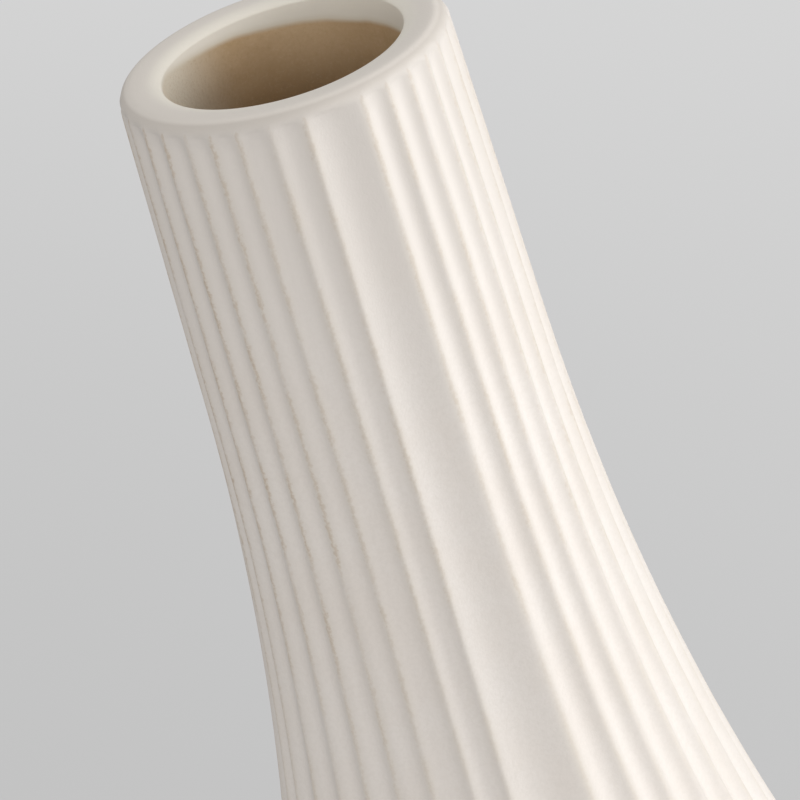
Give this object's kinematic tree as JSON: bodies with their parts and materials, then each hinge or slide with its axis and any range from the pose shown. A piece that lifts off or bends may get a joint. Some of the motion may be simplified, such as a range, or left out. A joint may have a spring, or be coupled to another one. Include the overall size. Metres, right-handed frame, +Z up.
{
  "type": "fluted ceramic vase",
  "caption": "Tall vase with a narrow round neck and rounded lip, straight concave flutes all round, and a body that flares down to a wide rounded foot.",
  "frame": {"origin": "on the table, in the middle of the foot", "axes": "+Z up along the vase's axis, towards the mouth; -Y is the front, through the middle of a wide flute"},
  "size_m": [0.1374, 0.1352, 0.24],
  "materials": {
    "glazed_stoneware": "matte warm white glaze that thins to tan on the ridges, bare clay inside and on the foot ring",
    "pad_silicone": "soft frosted silicone"
  },
  "bodies": {
    "root": {"vase_body": "glazed_stoneware", "foot_pad_1": "pad_silicone", "foot_pad_2": "pad_silicone", "foot_pad_3": "pad_silicone", "foot_pad_4": "pad_silicone"}
  },
  "joints": []
}
